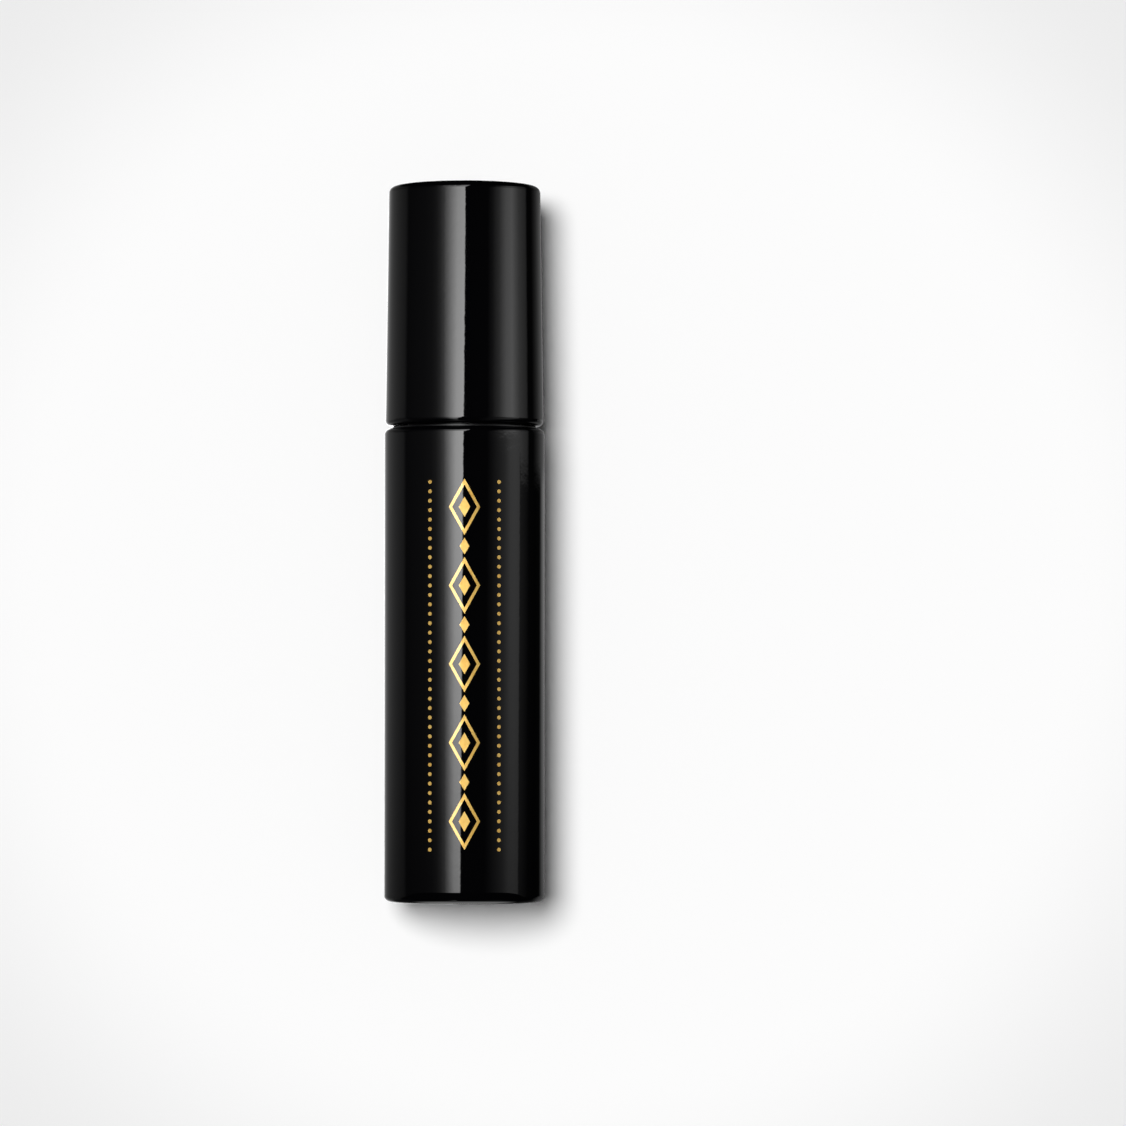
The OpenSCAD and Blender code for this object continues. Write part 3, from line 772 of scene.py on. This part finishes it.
def make_foil(material):
    """The gold design: drawn flat, given its thickness and wrapped round the front of the sleeve."""
    diagonal = math.hypot(LOZENGE_W / 2, LOZENGE_H / 2)
    inner_share = 1 - FOIL_LINE * diagonal / (LOZENGE_W / 2 * LOZENGE_H / 2)
    chain = (LOZENGES - 1) * LOZENGE_STEP
    sizes = {"Lozenge Width": LOZENGE_W, "Lozenge Height": LOZENGE_H, "Inner Share": inner_share,
             "Heart Share": HEART_SHARE, "Link Width": LINK_W, "Link Height": LINK_H, "Step": LOZENGE_STEP,
             "Lozenges": LOZENGES, "Dot Radius": DOT_R, "Dot Step": DOT_STEP, "Dot Column": DOT_COLUMN,
             "Dots": round((chain + LOZENGE_H) / DOT_STEP) + 1, "Tube Radius": SLEEVE_R,
             "Base": FOIL_BASE + LOZENGE_H / 2, "Proud": FOIL_PROUD, "Sunk": FOIL_SUNK}
    tree, given = new_tree("foil", sizes)

    def lozenge(width, height, share=1.0):
        half = add(tree, "ShaderNodeMath", {0: height, 1: 0.5}, operation="MULTIPLY").outputs[0]
        outline = add(tree, "GeometryNodeCurvePrimitiveQuadrilateral",
                      {"Width": width, "Bottom Height": half, "Top Height": half}, mode="KITE").outputs[0]
        scale = add(tree, "ShaderNodeCombineXYZ", {"X": share, "Y": share, "Z": 1.0}).outputs[0]
        sized = add(tree, "GeometryNodeTransform", {"Geometry": outline, "Scale": scale}).outputs[0]
        return add(tree, "GeometryNodeSubdivideCurve", {"Curve": sized, "Cuts": FOIL_CUTS}).outputs[0]

    def repeat(shape, count, start, step):
        line = add(tree, "GeometryNodeMeshLine", {"Count": count, "Start Location": start,
                                                  "Offset": step}).outputs[0]
        return add(tree, "GeometryNodeInstanceOnPoints", {"Points": line, "Instance": shape}).outputs[0]

    outlines = add(tree, "GeometryNodeJoinGeometry")
    for share in (1.0, given["Inner Share"], given["Heart Share"]):
        tree.links.new(lozenge(given["Lozenge Width"], given["Lozenge Height"], share), outlines.inputs[0])
    motif = add(tree, "GeometryNodeFillCurve", {"Curve": outlines.outputs[0]}, mode="TRIANGLES").outputs[0]
    link = add(tree, "GeometryNodeFillCurve", {"Curve": lozenge(given["Link Width"], given["Link Height"])},
               mode="TRIANGLES").outputs[0]
    dot = add(tree, "GeometryNodeMeshCircle", {"Vertices": DOT_SIDES, "Radius": given["Dot Radius"]},
              fill_type="NGON").outputs[0]

    step = add(tree, "ShaderNodeCombineXYZ", {"Y": given["Step"]}).outputs[0]
    half_step = add(tree, "ShaderNodeVectorMath", {0: step, "Scale": 0.5}, operation="SCALE").outputs[0]
    fewer = add(tree, "ShaderNodeMath", {0: given["Lozenges"], 1: 1.0}, operation="SUBTRACT").outputs[0]
    dot_step = add(tree, "ShaderNodeCombineXYZ", {"Y": given["Dot Step"]}).outputs[0]
    half_height = add(tree, "ShaderNodeMath", {0: given["Lozenge Height"], 1: -0.5},
                      operation="MULTIPLY").outputs[0]
    flat = add(tree, "GeometryNodeJoinGeometry")
    tree.links.new(repeat(motif, given["Lozenges"], (0, 0, 0), step), flat.inputs[0])
    tree.links.new(repeat(link, fewer, half_step, step), flat.inputs[0])
    for side in (-1.0, 1.0):
        across = add(tree, "ShaderNodeMath", {0: given["Dot Column"], 1: side},
                     operation="MULTIPLY").outputs[0]
        start = add(tree, "ShaderNodeCombineXYZ", {"X": across, "Y": half_height}).outputs[0]
        tree.links.new(repeat(dot, given["Dots"], start, dot_step), flat.inputs[0])
    sheet = add(tree, "GeometryNodeRealizeInstances", {"Geometry": flat.outputs[0]}).outputs[0]

    # Thickness, from just under the tube's surface to just above it
    depth = add(tree, "ShaderNodeMath", {0: given["Proud"], 1: given["Sunk"]}, operation="ADD").outputs[0]
    raised = add(tree, "GeometryNodeExtrudeMesh", {"Mesh": sheet, "Offset": (0, 0, 1),
                                                   "Offset Scale": depth, "Individual": False}).outputs[0]
    under = add(tree, "GeometryNodeFlipFaces", {"Mesh": sheet}).outputs[0]
    both = add(tree, "GeometryNodeJoinGeometry")
    tree.links.new(raised, both.inputs[0])
    tree.links.new(under, both.inputs[0])
    solid = add(tree, "GeometryNodeMergeByDistance", {"Geometry": both.outputs[0],
                                                      "Distance": FOIL_MERGE}).outputs[0]

    # Wrap: across the sheet becomes a turn round the tube, up the sheet becomes height
    point = add(tree, "GeometryNodeInputPosition").outputs[0]
    axes = add(tree, "ShaderNodeSeparateXYZ", {"Vector": point}).outputs
    angle = add(tree, "ShaderNodeMath", {0: axes["X"], 1: given["Tube Radius"]},
                operation="DIVIDE").outputs[0]
    underside = add(tree, "ShaderNodeMath", {0: given["Tube Radius"], 1: given["Sunk"]},
                    operation="SUBTRACT").outputs[0]
    radius = add(tree, "ShaderNodeMath", {0: underside, 1: axes["Z"]}, operation="ADD").outputs[0]
    sine = add(tree, "ShaderNodeMath", {0: angle}, operation="SINE").outputs[0]
    cosine = add(tree, "ShaderNodeMath", {0: angle}, operation="COSINE").outputs[0]
    side_way = add(tree, "ShaderNodeMath", {0: radius, 1: sine}, operation="MULTIPLY").outputs[0]
    forward = add(tree, "ShaderNodeMath", {0: radius, 1: cosine}, operation="MULTIPLY").outputs[0]
    front = add(tree, "ShaderNodeMath", {0: forward, 1: -1.0}, operation="MULTIPLY").outputs[0]
    height = add(tree, "ShaderNodeMath", {0: axes["Y"], 1: given["Base"]}, operation="ADD").outputs[0]
    place = add(tree, "ShaderNodeCombineXYZ", {"X": side_way, "Y": front, "Z": height}).outputs[0]
    wrapped = add(tree, "GeometryNodeSetPosition", {"Geometry": solid, "Position": place}).outputs[0]
    close_tree(tree, wrapped, material)
    mesh = grow("gold_foil", tree, sizes)
    smooth(mesh, crease=40)
    foil = new_object("gold_foil", mesh)
    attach(foil, "bottle")


# Finishes of the CAD pieces that stay
def finish_node(node, material):
    """Gives a CAD piece its material."""
    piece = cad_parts[node]
    piece.data.materials.clear()
    piece.data.materials.append(material)


gloss_black = gloss_black_abs()
satin_black = satin_black_pp()
make_camera()
make_tent()
make_floor()
make_flag()
make_surface()
make_lights()
finish_node("outer_sleeve", gloss_black)
finish_node("cap_shell", gloss_black)
finish_node("rod", gloss_black)
finish_node("vial", satin_black)
finish_node("inner_cap", satin_black)
finish_node("wiper", soft_black_ldpe())
finish_node("seal_washer", natural_pe_foam())
make_brush(satin_black_tpe())
make_thread("neck_thread", "bottle", satin_black, NECK_R, NECK_THREAD_LOW)
make_thread("liner_thread", "applicator", satin_black, LINER_BORE_R, LINER_THREAD_LOW)
make_foil(gold_foil())

bpy.context.scene.view_settings.view_transform = "Standard"
